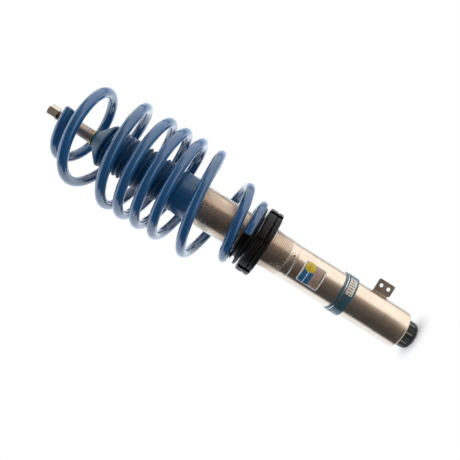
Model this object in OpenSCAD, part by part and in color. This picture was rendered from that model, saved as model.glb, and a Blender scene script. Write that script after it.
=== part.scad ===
// Coil-over strut for a car's front axle: a threaded housing with an inverted gas damper
// cartridge, a height-adjustable spring seat, a barrel coil spring and a bellows dust boot.
// Heights are measured up the strut's axis from the lower end of the housing tube.
// The frame's origin is on the axis at the middle of the clamp seat, +Z towards the top stud.

/* [Housing] */
// Diameter of the ground seat that the knuckle clamp grips
clamp_d = 55; // [54.8:0.1:55.4]
// Length of the clamp seat
clamp_len = 36; // [32:1:36]
// Diameter of the plain tube above the clamp seat
tube_d = 54.2; // [54:0.1:54.2]
// Inner diameter of the housing
bore_d = 49.2; // [49.2:0.1:49.4]
// Height of the housing's upper end
housing_h = 325; // [323:0.5:327]
// Height at which the thread starts
thread_start = 180.8; // [180:0.2:183]
// Outer diameter of the body thread
thread_d = 57; // [56.8:0.1:57]
// Pitch of the body thread
pitch = 2.5; // [2:0.25:2.5]

/* [Depth collar and tab] */
// Height of the collar's lower face, which stops on the knuckle
collar_h = 83.1; // [82:0.1:86]
// Outer diameter of the depth collar
collar_d = 58.4; // [57.6:0.2:60]
// Axial length of the depth collar's wide band
collar_len = 13.6; // [12:0.2:14]
// Height of the locating tab's lower edge
tab_h = 34.7; // [34:0.1:36]
// Height of the tab along the strut's axis
tab_len = 24; // [22:0.1:26]
// Distance from the axis to the tab's outer edge
tab_reach = 46.3; // [44:0.1:48]
// Thickness of the tab plate
tab_t = 4; // [3:0.5:5]
// Diameter of the two holes in the tab
tab_hole_d = 5.5; // [4.5:0.1:6]
// Distance between the two holes
tab_hole_gap = 11; // [9:0.1:12]

/* [Spring seat and rings] */
// Height of the face that the spring stands on
seat_face = 240.2; // [239.6:0.1:242]
// Outer diameter of the seat's flange
seat_flange_d = 88; // [84:0.5:90]
// Diameter of the hub inside the spring's last turn
seat_hub_d = 70; // [68:0.5:72]
// Height of the hub's upper end
seat_top = 249.5; // [246:0.5:260]
// Outer diameter of the adjuster ring and lock ring
ring_d = 95.6; // [92:0.1:98]
// Height of the adjuster ring's upper face
ring_top = 233.2; // [233:0.1:233.4]
// Axial length of the adjuster ring
adjuster_len = 11; // [10:0.1:11]
// Axial length of the lock ring
lock_len = 7.7; // [7:0.1:9]
// Number of spanner slots in each ring
slots = 6; // [4:1:8]

/* [Coil spring] */
// Wire diameter
wire_d = 14; // [12:0.1:14]
// Radius of the wire's centre line in the full-width turns
coil_r = 69.6; // [68:0.1:72]
// Sideways bow of the free spring
coil_bow = 2.2; // [0:0.1:2.5]
// Height by which each full-width turn leans across its width
coil_lean = 2.2; // [0:0.1:3]
// Height by which each full-width turn leans from its back to its front
coil_front_lean = 4.9; // [0:0.1:6]

/* [Damper] */
// Outer diameter of the sliding cartridge
cartridge_d = 46; // [45:0.1:46]
// Bore of the cartridge
cartridge_bore = 40; // [39:0.1:40]
// Piston rod diameter
rod_d = 14; // [12:0.5:14]
// Height of the cartridge's lower end at full extension
cartridge_foot = 150; // [149:0.5:151]
// Height of the cartridge tube's upper end
cartridge_top = 457; // [456:0.5:458]
// Compression stroke
stroke = 100; // [90:1:100]
// Clearance of sliding fits on the radius
running = 0.05; // [0.03:0.01:0.08]

/* [Top stud] */
// Diameter of the stud's polished shank
shank_d = 18; // [17:0.1:19]
// Height of the shoulder that the top mount rests on
shoulder_h = 524; // [520:0.5:528]
// Nominal thread diameter above the shoulder
stud_d = 12; // [11:0.1:12]
// Height of the stud's tip
stud_top = 558; // [557.5:0.1:560]
// Width of the nut across its flats
nut_af = 18; // [17:0.1:19]
// Height of the nut's lower face
nut_h = 542.3; // [541:0.1:543]
// Axial length of the nut
nut_len = 13.5; // [10:0.1:13.5]

/* [Dust boot] */
// Outer diameter of the plain sleeve
sleeve_d = 60; // [59.6:0.1:60.4]
// Height of the sleeve's lower end
sleeve_h = 319.7; // [318:0.1:321]
// Height of the joint between sleeve and bellows
bellows_h = 352; // [351:0.1:353]
// Height of the bellows' upper end
bellows_top = 463.5; // [463:0.1:463.5]
// Number of folds in the bellows
folds = 16; // [12:1:18]
// Depth of one fold
fold_depth = 3.6; // [2.5:0.1:3.6]
// Height of the cap's neck
neck_h = 485.6; // [485:0.1:486]

/* [Damping knob] */
// Knob diameter
knob_d = 38.4; // [37:0.1:40]
// Distance that the knob stands out below the tube
knob_out = 18; // [14:0.5:18]
// Number of finger grooves round the knob
knob_grooves = 9; // [6:1:12]

/* [Hidden] */
$fn = 96;

// Clamp seat: a chamfer below it, the ground land, then the frame's origin at its middle
seat_chamfer = 1.5;
seat_mid = seat_chamfer + clamp_len / 2;

// Housing
thread_depth = 1.4;
relief_h = 171.1;
relief_depth = 0.5;
relief_len = 2;
foot_recess_d = 43;
foot_recess = 8;
base_t = 14;
base_bore_d = 12.1;
base_top = foot_recess + base_t;

// Depth collar
collar_groove = 2.2;
stop_ring_len = 3.3;
snap_len = 1.4;
snap_proud = 0.8;
stop_ring_h = collar_h + collar_len + collar_groove;

// Rating label
label_low = 127.9;
label_high = 159.9;
label_angle = 70;
label_t = 0.15;

// Seat and rings
washer_t = 1.5;
washer_d = 67;
neck_d = 62;
seat_bore_d = thread_d + 0.6;
flange_rim = 3.5;
ring_gap = 0.5;
ring_chamfer = 1.6;
slot_w = 7;
slot_depth = 4;
first_slot = -28;
adjuster_h = ring_top - adjuster_len;
lock_h = adjuster_h - ring_gap - lock_len;

// Coil spring: height and radius of the centre line at every half turn, from the top end down
coil_heights = [517.3, 498.4, 494.8, 464.5, 432.8, 415.9, 403.7, 391.3, 378.8, 366.5, 352.7, 338.3,
    318.6, 285.7, 262.6, 246.4, 244.4];
coil_widths = [0.617, 0.75, 0.932, 0.988, 1, 1, 1, 1, 1, 1, 1, 1, 1, 0.933, 0.654, 0.64, 0.625];
half_turns = len(coil_heights) - 1;
// Half turns that the wire runs on before the first height, and how much its top end turn is lifted
coil_over = 0.09;
end_lift = 5;
rings_per_half = 14;
wire_sides = 12;
coil_start = -90;
bow_end = 14;
bow_fade = 3;
// Flat ground on the lower end turn
ground_gap = 0.05;
ground_face = seat_face + ground_gap - seat_mid;

// Damper
cart_r = cartridge_d / 2;
bore_r = cartridge_bore / 2;
rod_r = rod_d / 2;
press = 0.06;
bush_r = bore_d / 2 - press;
lower_bush_h = 166;
upper_bush_h = 294;
bush_len = 18;
wiper_h = 314;
wiper_len = 6;
retainer_len = 3;
cup_t = 2;
bump_len = 24;
bump_d = 36;
rod_spigot_r = 6;
rod_foot = -3;
base_nut_af = 19;
base_nut_len = 9;
rod_shoulder = 188;
piston_spigot_r = 5;
rod_end = 222;
needle_bore_r = 2.7;
needle_r = 2.5;
shim_len = 3.6;
shim_gap = 0.15;
shim_t = 0.3;
shim_steps = 4;
piston_len = 14;
piston_h = rod_shoulder + shim_len;
band_len = 6;
band_depth = 1.2;
piston_nut_af = 17;
piston_nut_len = 8;
port_r = 1.6;
ports = 6;
circlip_t = 1.5;
circlip_depth = 0.9;
seal_len = 5.5;
guide_len = 18;
seal_h = cartridge_foot + 2 + circlip_t;
guide_h = seal_h + seal_len;
bumper_len = 8;
float_h = 340;
float_len = 18;
float_ring_len = 3.5;
cap_plug = 14;
cap_flange = 4;
stud_base_d = 28;
stud_base_len = 4;
stud_foot = cartridge_top + cap_flange;
clip_groove = 0.8;
clip_t = 1.5;
clip_h = neck_h + 0.4;
clip_d = 21.6;
thread_mark = 1.25;
stud_thread_depth = 0.5;

// Dust boot
boot_wall = 1;
sleeve_bore_d = thread_d + 1;
joint_gap = 0.3;
neck_r = 12;
neck_len = 2.6;
cap_wall = 1.8;
cap_edge_r = 28.6;
cap_edge_h = 468.2;
lip_r = 30.7;
lip_t = 2.4;
shank_gap = 0.3;

// Knob
knob_in = 3;
knob_round = 6.5;
knob_cavity_d = 27;
knob_cavity = 8;
knob_groove_r = 1.7;
knob_socket = 6;

// Moves children to a height on the strut's axis
module at(h) translate([0, 0, h - seat_mid]) children();

// Ring between two heights
module ring(r_out, r_in, low, high) {
    at(low) difference() {
        cylinder(r = r_out, h = high - low);
        translate([0, 0, -1]) cylinder(r = r_in, h = high - low + 2);
    }
}

// Solid of revolution about the strut's axis from points [radius, height]
module turned(points) {
    at(0) rotate_extrude() polygon(points);
}

// Hexagon prism with a round bore and turned corners on both ends
module hex_nut(af, bore_r, low, len) {
    corner = af / sqrt(3);
    bevel = corner - af / 2;
    at(low) difference() {
        intersection() {
            cylinder(r = corner, h = len, $fn = 6);
            rotate_extrude() polygon([[0, 0], [af / 2, 0], [corner + 0.1, bevel], [corner + 0.1, len - bevel],
                [af / 2, len], [0, len]]);
        }
        translate([0, 0, -1]) cylinder(r = bore_r, h = len + 2);
    }
}

// Points of an arc in a profile
function arc(cx, cy, r, from, to, steps) =
    [for (i = [0 : steps]) let (a = from + (to - from) * i / steps) [cx + r * cos(a), cy + r * sin(a)]];

// Outline of annular thread grooves, from low to high
function thread_outline(crest, depth, low, high, p) =
    [for (i = [0 : floor((high - low) / p) - 1]) each [
        [crest - depth, low + (i + 0.05) * p], [crest, low + (i + 0.4) * p],
        [crest, low + (i + 0.65) * p], [crest - depth, low + (i + 0.95) * p]]];

// ---- Housing ----

module strut_housing() {
    outer = concat(
        [[clamp_d / 2 - seat_chamfer, 0], [clamp_d / 2, seat_chamfer], [clamp_d / 2, seat_chamfer + clamp_len],
            [tube_d / 2, seat_chamfer + clamp_len], [tube_d / 2, relief_h],
            [tube_d / 2 - relief_depth, relief_h], [tube_d / 2 - relief_depth, relief_h + relief_len],
            [tube_d / 2, relief_h + relief_len], [tube_d / 2, thread_start]],
        thread_outline(thread_d / 2, thread_depth, thread_start, housing_h - 1, pitch),
        [[thread_d / 2 - thread_depth, housing_h], [bore_d / 2, housing_h]]);
    inner = [[bore_d / 2, base_top], [base_bore_d / 2, base_top], [base_bore_d / 2, foot_recess],
        [foot_recess_d / 2, foot_recess], [foot_recess_d / 2, 0]];
    color("lightslategray") turned(concat(outer, inner));
}

module depth_collar() {
    r = collar_d / 2;
    edge = 1;
    inner = tube_d / 2 + press;
    color("darkslategray") turned([[inner, collar_h], [r - edge, collar_h], [r, collar_h + edge],
        [r, collar_h + collar_len - edge / 2], [r - edge / 2, collar_h + collar_len],
        [inner, collar_h + collar_len]]);
}

module stop_ring() {
    color("darkslategray") ring(collar_d / 2 - 0.2, tube_d / 2 + press, stop_ring_h, stop_ring_h + stop_ring_len);
}

module collar_snap_ring() {
    low = collar_h + collar_len + (collar_groove - snap_len) / 2;
    color("silver") ring(tube_d / 2 + snap_proud, tube_d / 2 + press, low, low + snap_len);
}

module locating_tab() {
    corner = 2.2;
    cut = 3;
    inner = tube_d / 2 - 2;
    color("dimgray") difference() {
        at(tab_h) rotate([90, 0, 0]) linear_extrude(height = tab_t, center = true)
            polygon(concat(
                [[inner, cut], [tube_d / 2 + 1, cut], [tube_d / 2 + 1 + cut, 0]],
                arc(tab_reach - corner, corner, corner, -90, 0, 5),
                arc(tab_reach - corner, tab_len - corner, corner, 0, 90, 5),
                [[inner, tab_len]]));
        at(tab_h - 1) cylinder(d = tube_d, h = tab_len + 2);
        for (side = [-1, 1])
            at(tab_hole_mid + side * tab_hole_gap / 2) translate([tab_hole_x, 0, 0])
                rotate([90, 0, 0]) cylinder(d = tab_hole_d, h = tab_t + 2, center = true);
    }
}
tab_hole_mid = tab_h + tab_len / 2;
tab_hole_x = 38.4;

module rating_label() {
    color("gainsboro") at(label_low) rotate([0, 0, -90 - label_angle / 2])
        rotate_extrude(angle = label_angle)
            translate([tube_d / 2 + press, 0]) square([label_t, label_high - label_low]);
}

module guide_bush(low) {
    ring(bush_r, cart_r + running, low, low + bush_len);
}
module lower_guide_bush() { color("darkkhaki") guide_bush(lower_bush_h); }
module upper_guide_bush() { color("darkkhaki") guide_bush(upper_bush_h); }

module wiper_seal() {
    color("black") ring(bush_r, cart_r + running, wiper_h, wiper_h + wiper_len);
}

module seal_retainer() {
    color("gray") ring(bush_r, cart_r + 2 * running, wiper_h + wiper_len, wiper_h + wiper_len + retainer_len);
}

// ---- Piston rod and its fittings ----

module piston_rod() {
    color("lightgray") turned([[needle_bore_r, rod_foot], [rod_spigot_r, rod_foot], [rod_spigot_r, base_top],
        [rod_r, base_top], [rod_r, rod_shoulder], [piston_spigot_r, rod_shoulder], [piston_spigot_r, rod_end],
        [needle_bore_r, rod_end]]);
}

module rod_base_nut() {
    color("silver") hex_nut(base_nut_af, rod_spigot_r + press, foot_recess - base_nut_len, base_nut_len);
}

module bump_stop_cup() {
    color("gray") ring(bump_d / 2 + 1, rod_r + press, base_top, base_top + cup_t);
}

module bump_stop() {
    low = base_top + cup_t;
    waist = bump_d / 2 - 3;
    tip = bump_d / 2 - 6;
    color("khaki") turned([[rod_r + press, low], [bump_d / 2, low], [bump_d / 2, low + bump_len / 3],
        [waist, low + bump_len / 2], [bump_d / 2 - 1, low + 2 * bump_len / 3], [tip, low + bump_len],
        [rod_r + press, low + bump_len]]);
}

module rebound_bumper() {
    top = rod_shoulder - 1;
    color("black") ring(rod_r + 5, rod_r + press, top - bumper_len, top);
}

module shim_stack(low) {
    for (i = [0 : shim_steps - 1])
        ring(piston_spigot_r + 4 + 2.4 * i, piston_spigot_r + press,
            low + i * shim_len / shim_steps + shim_gap, low + i * shim_len / shim_steps + shim_gap + shim_t);
}
module compression_shims() { color("steelblue") shim_stack(rod_shoulder); }
module rebound_shims() {
    color("steelblue") translate([0, 0, 2 * (piston_h + piston_len / 2 - seat_mid)]) mirror([0, 0, 1])
        shim_stack(rod_shoulder);
}

module piston() {
    r = bore_r - 2 * running;
    mid = piston_h + piston_len / 2;
    color("silver") difference() {
        turned([[piston_spigot_r + press, piston_h], [r, piston_h], [r, mid - band_len / 2],
            [r - band_depth, mid - band_len / 2], [r - band_depth, mid + band_len / 2], [r, mid + band_len / 2],
            [r, piston_h + piston_len], [piston_spigot_r + press, piston_h + piston_len]]);
        for (i = [0 : ports - 1])
            rotate([0, 0, i * 360 / ports]) at(piston_h - 1) translate([bore_r * 0.6, 0, 0])
                cylinder(r = port_r, h = piston_len + 2, $fn = 24);
    }
}

module piston_band() {
    mid = piston_h + piston_len / 2;
    inner = bore_r - 2 * running - band_depth + press;
    color("saddlebrown") ring(bore_r - running, inner, mid - band_len / 2 + press, mid + band_len / 2 - press);
}

module piston_nut() {
    color("silver")
        hex_nut(piston_nut_af, piston_spigot_r + press, piston_h + piston_len + shim_len, piston_nut_len);
}

// ---- Damping adjuster ----

module adjuster_knob() {
    r = knob_d / 2;
    color([0.07, 0.07, 0.08]) difference() {
        turned(concat([[0, -knob_out]],
            arc(r - knob_round, knob_round - knob_out, knob_round, -90, 0, 6),
            [[r, knob_in - 1], [r - 1, knob_in], [knob_cavity_d / 2, knob_in],
                [knob_cavity_d / 2, knob_in - knob_cavity], [0, knob_in - knob_cavity]]));
        for (i = [0 : knob_grooves - 1])
            rotate([0, 0, -94 + i * 360 / knob_grooves]) at(-knob_out - 1)
                translate([r + knob_groove_r * 0.35, 0, 0])
                    cylinder(r = knob_groove_r, h = knob_out + knob_in + 2, $fn = 24);
        at(-knob_cavity - knob_socket) cylinder(r = needle_r + press, h = knob_socket + knob_cavity);
    }
}

module adjuster_rod() {
    tip = 6;
    top = rod_end - 4;
    foot = -knob_cavity - knob_socket + 0.5;
    color("goldenrod") turned([[0, foot], [needle_r, foot], [needle_r, top - tip], [needle_r / 4, top], [0, top]]);
}

// ---- Cartridge ----

module cartridge_tube() {
    groove_low = cartridge_foot + 2;
    color("whitesmoke") turned([[bore_r, cartridge_foot], [cart_r - 1, cartridge_foot], [cart_r, cartridge_foot + 1],
        [cart_r, cartridge_top], [bore_r, cartridge_top], [bore_r, groove_low + circlip_t],
        [bore_r + circlip_depth + press, groove_low + circlip_t], [bore_r + circlip_depth + press, groove_low],
        [bore_r, groove_low]]);
}

module guide_circlip() {
    color("dimgray") ring(bore_r + circlip_depth, bore_r - 2, cartridge_foot + 2, cartridge_foot + 2 + circlip_t);
}

module rod_seal() {
    color("black") ring(bore_r - press, rod_r + running, seal_h, guide_h);
}

module rod_guide() {
    color("silver") ring(bore_r - press, rod_r + running, guide_h, guide_h + guide_len);
}

module floating_piston() {
    r = bore_r - 2 * running;
    mid = float_h + float_len / 2;
    dish = 6;
    color("silver") turned([[0, float_h], [r, float_h], [r, mid - float_ring_len / 2],
        [r - 2, mid - float_ring_len / 2], [r - 2, mid + float_ring_len / 2], [r, mid + float_ring_len / 2],
        [r, float_h + float_len], [r - 3, float_h + float_len], [r - 3, float_h + float_len - dish],
        [0, float_h + float_len - dish]]);
}

module floating_piston_ring() {
    mid = float_h + float_len / 2;
    color("black") ring(bore_r - running, bore_r - 2 * running - 2 + press,
        mid - float_ring_len / 2 + press, mid + float_ring_len / 2 - press);
}

module cartridge_end_cap() {
    color("silver") turned([[0, cartridge_top - cap_plug], [bore_r - press, cartridge_top - cap_plug],
        [bore_r - press, cartridge_top], [cart_r, cartridge_top], [cart_r, stud_foot - 1],
        [cart_r - 1, stud_foot], [0, stud_foot]]);
}

module top_stud() {
    r = shank_d / 2;
    color("whitesmoke") turned(concat([[0, stud_foot], [stud_base_d / 2, stud_foot],
        [stud_base_d / 2, stud_foot + stud_base_len], [r, stud_foot + stud_base_len], [r, clip_h],
        [r - clip_groove, clip_h], [r - clip_groove, clip_h + clip_t], [r, clip_h + clip_t],
        [r, shoulder_h], [stud_d / 2, shoulder_h]],
        thread_outline(stud_d / 2, stud_thread_depth, shoulder_h + 6, stud_top - 1, thread_mark),
        [[stud_d / 2 - stud_thread_depth, stud_top], [0, stud_top]]));
}

module top_nut() {
    color("tan") hex_nut(nut_af, stud_d / 2 + press, nut_h, nut_len);
}

module stud_circlip() {
    color("goldenrod") difference() {
        ring(clip_d / 2, shank_d / 2 - clip_groove + press, clip_h + press, clip_h + clip_t - press);
        at(clip_h - 1) translate([-2, 0, 0]) cube([4, clip_d, clip_t + 2]);
    }
}

// ---- Dust boot ----

module boot_cap() {
    inner = shank_d / 2 + shank_gap;
    color("cadetblue") turned([[inner, neck_h], [neck_r, neck_h], [neck_r, neck_h - neck_len],
        [cap_edge_r, cap_edge_h], [cap_edge_r - cap_wall, cap_edge_h - cap_wall],
        [inner, neck_h - neck_len - cap_wall]]);
}

module boot_retaining_ring() {
    drop = lip_r - cap_edge_r;
    color("midnightblue") turned([[cap_edge_r + press, cap_edge_h], [lip_r, cap_edge_h - drop],
        [lip_r, bellows_top], [lip_r - lip_t * 1.5, bellows_top],
        [cap_edge_r - cap_wall + press, cap_edge_h - cap_wall - 0.2], [cap_edge_r - 1, cap_edge_h - cap_wall + 0.4]]);
}

module dust_bellows() {
    low = bellows_h + joint_gap;
    high = bellows_top - joint_gap;
    step = (high - low) / folds;
    crest = sleeve_d / 2;
    valley = crest - fold_depth;
    outer = [for (i = [0 : folds - 1]) each [[valley, low + i * step], [crest, low + (i + 0.5) * step]]];
    inner = [for (i = [folds - 1 : -1 : 0]) each
        [[crest - boot_wall, low + (i + 0.5) * step], [valley - boot_wall, low + i * step]]];
    color("midnightblue") turned(concat(outer, [[valley, high], [valley - boot_wall, high]], inner));
}

module dust_sleeve() {
    color([0.1, 0.3, 0.38]) ring(sleeve_d / 2, sleeve_bore_d / 2, sleeve_h, bellows_h);
}

// ---- Spring seat, rings and spring ----

module spring_seat() {
    bore = seat_bore_d / 2;
    low = ring_top + washer_t;
    hub = seat_hub_d / 2;
    flange = seat_flange_d / 2;
    edge = 2;
    color([0.05, 0.05, 0.05]) turned([[bore, low], [neck_d / 2, low], [neck_d / 2, low + 0.6],
        [flange, seat_face - flange_rim], [flange, seat_face], [hub, seat_face], [hub, seat_top - edge],
        [hub - edge, seat_top], [bore, seat_top]]);
}

module thrust_washer() {
    color("lightsteelblue") ring(washer_d / 2, seat_bore_d / 2, ring_top, ring_top + washer_t);
}

module slotted_ring(low, len) {
    r = ring_d / 2;
    difference() {
        turned([[seat_bore_d / 2, low], [r - ring_chamfer, low], [r, low + ring_chamfer],
            [r, low + len - ring_chamfer], [r - ring_chamfer, low + len], [seat_bore_d / 2, low + len]]);
        for (i = [0 : slots - 1])
            rotate([0, 0, first_slot + i * 360 / slots]) at(low - 1) translate([r - slot_depth, -slot_w / 2, 0])
                cube([slot_depth + 2, slot_w, len + 2]);
    }
}
module adjuster_ring() { color([0.05, 0.05, 0.05]) slotted_ring(adjuster_h, adjuster_len); }
module lock_ring() { color([0.05, 0.05, 0.05]) slotted_ring(lock_h, lock_len); }

// Smooth curve through the half-turn values
function clamped(list, i) = list[max(0, min(len(list) - 1, i))];
function smooth(list, t) =
    let (i = max(0, min(floor(t), len(list) - 2)), u = t - i,
        a = clamped(list, i - 1), b = list[i], c = list[i + 1], d = clamped(list, i + 2))
    b + u * (c - a) / 2 + u * u * (a - 5 * b / 2 + 2 * c - d / 2) + u * u * u * (3 * (b - c) + d - a) / 2;
function fade(u) = let (v = max(0, min(1, u))) v * v * (3 - 2 * v);

// Centre line of the wire, t half turns below the top end
function bow(t) = coil_bow * fade((bow_end - t) / bow_fade);
function lean(t) = fade((t - 1) / 3) * fade((bow_end - 1 - t) / bow_fade);
function wire_centre(t) =
    let (r = coil_r * smooth(coil_widths, t), a = coil_start - 180 * t)
    [r * cos(a) + bow(t), r * sin(a),
        smooth(coil_heights, t) + lift(t) - seat_mid - lean(t) * (coil_lean * cos(a) + coil_front_lean * sin(a))];
function lift(t) = t > 0 && t < 1 ? end_lift * pow(sin(180 * t), 2) : 0;
function unit(v) = v / norm(v);
function wire_ring(t) =
    let (c = wire_centre(t), a = coil_start - 180 * t,
        along = unit(wire_centre(min(t + 0.02, half_turns)) - wire_centre(max(t - 0.02, -coil_over))),
        out = unit([cos(a), sin(a), 0] - ([cos(a), sin(a), 0] * along) * along), up = cross(along, out))
    [for (k = [0 : wire_sides - 1])
        let (b = 360 * k / wire_sides, p = c + wire_d / 2 * (cos(b) * out + sin(b) * up))
        [p.x, p.y, max(p.z, ground_face)]];

module coil_spring() {
    n = half_turns * rings_per_half;
    share = (half_turns + coil_over) / n;
    points = [for (i = [0 : n]) each wire_ring(i * share - coil_over)];
    sides = [for (i = [0 : n - 1], k = [0 : wire_sides - 1]) let (k2 = (k + 1) % wire_sides)
        each [[i * wire_sides + k, i * wire_sides + k2, (i + 1) * wire_sides + k],
            [(i + 1) * wire_sides + k, i * wire_sides + k2, (i + 1) * wire_sides + k2]]];
    first = [for (k = [wire_sides - 1 : -1 : 0]) k];
    last = [for (k = [0 : wire_sides - 1]) n * wire_sides + k];
    color("steelblue") polyhedron(points, concat([first], sides, [last]), convexity = 20);
}

strut_housing();
depth_collar();
stop_ring();
collar_snap_ring();
locating_tab();
rating_label();
lower_guide_bush();
upper_guide_bush();
wiper_seal();
seal_retainer();
piston_rod();
rod_base_nut();
bump_stop();
bump_stop_cup();
rebound_bumper();
piston();
piston_band();
compression_shims();
rebound_shims();
piston_nut();
adjuster_knob();
adjuster_rod();
cartridge_tube();
cartridge_end_cap();
top_stud();
top_nut();
stud_circlip();
rod_guide();
rod_seal();
guide_circlip();
floating_piston();
floating_piston_ring();
boot_cap();
boot_retaining_ring();
dust_bellows();
dust_sleeve();
spring_seat();
thrust_washer();
adjuster_ring();
lock_ring();
coil_spring();
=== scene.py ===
import math

import bmesh
import bpy
from mathutils import Matrix, Vector


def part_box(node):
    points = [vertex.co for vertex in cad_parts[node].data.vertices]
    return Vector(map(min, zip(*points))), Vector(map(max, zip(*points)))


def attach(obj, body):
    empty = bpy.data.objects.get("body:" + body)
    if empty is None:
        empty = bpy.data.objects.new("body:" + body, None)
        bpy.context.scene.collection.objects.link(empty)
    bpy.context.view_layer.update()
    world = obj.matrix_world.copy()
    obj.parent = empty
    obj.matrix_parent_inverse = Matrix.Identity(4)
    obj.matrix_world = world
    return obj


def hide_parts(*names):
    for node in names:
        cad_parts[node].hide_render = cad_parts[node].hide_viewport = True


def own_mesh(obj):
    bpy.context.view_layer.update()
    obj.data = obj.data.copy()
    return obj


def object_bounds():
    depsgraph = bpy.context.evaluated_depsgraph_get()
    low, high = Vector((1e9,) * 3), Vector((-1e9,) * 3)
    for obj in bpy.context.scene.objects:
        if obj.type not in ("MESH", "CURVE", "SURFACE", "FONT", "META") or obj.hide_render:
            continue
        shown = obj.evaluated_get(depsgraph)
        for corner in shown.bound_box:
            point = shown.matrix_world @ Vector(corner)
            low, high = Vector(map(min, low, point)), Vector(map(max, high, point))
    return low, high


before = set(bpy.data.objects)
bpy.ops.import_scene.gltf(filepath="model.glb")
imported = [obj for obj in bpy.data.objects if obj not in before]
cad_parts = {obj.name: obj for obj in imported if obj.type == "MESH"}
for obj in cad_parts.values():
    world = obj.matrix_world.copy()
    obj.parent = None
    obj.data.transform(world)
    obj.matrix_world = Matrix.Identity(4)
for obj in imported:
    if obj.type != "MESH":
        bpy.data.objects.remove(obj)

CAD_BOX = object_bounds()

# ---------------------------------------------------------------- measures
# Heights in the tables below are millimetres above the housing's foot.
MM = 0.001
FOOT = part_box("strut_housing")[0].z
TAU = 2 * math.pi
TUBE = 27.1                # radius of the plain tube
CLAMP_SEAT = 27.5          # radius of the part that the knuckle grips
RING_BORE = 28.8           # bore of the seat and of the rings on the thread
SEAT_FACE = 240.2          # height that the lowest turn of the spring rests on


def up(height):
    """Height in the frame, in metres, of a height above the housing's foot in millimetres."""
    return FOOT + height * MM


def above_foot(z):
    """Height above the housing's foot, in millimetres, of a height in the frame."""
    return (z - FOOT) / MM


def span(node):
    """Lower and upper end of a CAD node in millimetres above the foot."""
    low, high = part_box(node)
    return above_foot(low.z), above_foot(high.z)


def radius(node):
    """Outer radius of a round CAD node in millimetres."""
    low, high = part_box(node)
    return (high.y - low.y) / 2 / MM


# ---------------------------------------------------------------- mesh tools
def at_radius(r, angle, height):
    """Point in the frame from a radius and height in millimetres and an angle from +X."""
    return r * MM * math.cos(angle), r * MM * math.sin(angle), up(height)


def make_object(name, verts, faces, body, materials, face_slots=None, crease=32):
    """Mesh object from metres, with smooth faces that break at edges sharper than crease degrees."""
    mesh = bpy.data.meshes.new(name)
    mesh.from_pydata([tuple(v) for v in verts], [], faces)
    work = bmesh.new()
    work.from_mesh(mesh)
    bmesh.ops.recalc_face_normals(work, faces=work.faces)
    work.to_mesh(mesh)
    work.free()
    for material in materials:
        mesh.materials.append(material)
    if face_slots:
        mesh.polygons.foreach_set("material_index", face_slots)
    mesh.polygons.foreach_set("use_smooth", [True] * len(mesh.polygons))
    mesh.set_sharp_from_angle(angle=math.radians(crease))
    mesh.update()
    obj = bpy.data.objects.new(name, mesh)
    bpy.context.scene.collection.objects.link(obj)
    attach(obj, body)
    return obj


def softened(points, closed=True, steps=4):
    """Profile [radius, height, softening] in mm with each corner turned into a small curve."""
    out = []
    count = len(points)
    for i, point in enumerate(points):
        here = Vector(point[:2])
        cut = point[2] if len(point) > 2 else 0
        inside = closed or 0 < i < count - 1
        if not cut or not inside:
            out.append(tuple(here))
            continue
        before = Vector(points[i - 1][:2]) - here
        after = Vector(points[(i + 1) % count][:2]) - here
        start = here + before.normalized() * min(cut, before.length * 0.49)
        end = here + after.normalized() * min(cut, after.length * 0.49)
        for k in range(steps + 1):
            t = k / steps
            out.append(tuple((1 - t) ** 2 * start + 2 * t * (1 - t) * here + t * t * end))
    return out


def loft(rows, wrap_rows):
    """Faces between rows of vertices. A row of one vertex is a pole; each row is a closed ring."""
    verts, starts = [], []
    for row in rows:
        starts.append(len(verts))
        verts.extend(row)
    faces = []
    pairs = len(rows) if wrap_rows else len(rows) - 1
    for i in range(pairs):
        j = (i + 1) % len(rows)
        a, b, na, nb = starts[i], starts[j], len(rows[i]), len(rows[j])
        for k in range(max(na, nb)):
            k2 = (k + 1) % max(na, nb)
            if na == 1:
                faces.append((a, b + k2, b + k))
            elif nb == 1:
                faces.append((a + k, a + k2, b))
            else:
                faces.append((a + k, a + k2, b + k2, b + k))
    return verts, faces


def ring_row(r, height, segments):
    """A circle of vertices about the strut's axis, or one vertex on the axis."""
    if r < 1e-6:
        return [(0, 0, up(height))]
    return [at_radius(r, TAU * k / segments, height) for k in range(segments)]


def turned(name, profile, body, material):
    """Ring turned from its closed section."""
    rows = [ring_row(r, h, 128) for r, h in softened(profile)]
    verts, faces = loft(rows, True)
    return make_object(name, verts, faces, body, [material])


def merged(name, parts, body, materials, face_slots=None):
    """One object from several (verts, faces) pairs. face_slots holds one material number per pair."""
    verts, faces, slots = [], [], []
    for number, (part_verts, part_faces) in enumerate(parts):
        base = len(verts)
        verts.extend(part_verts)
        faces.extend(tuple(i + base for i in face) for face in part_faces)
        slots.extend([face_slots[number] if face_slots else 0] * len(part_faces))
    return make_object(name, verts, faces, body, materials, slots)


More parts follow.
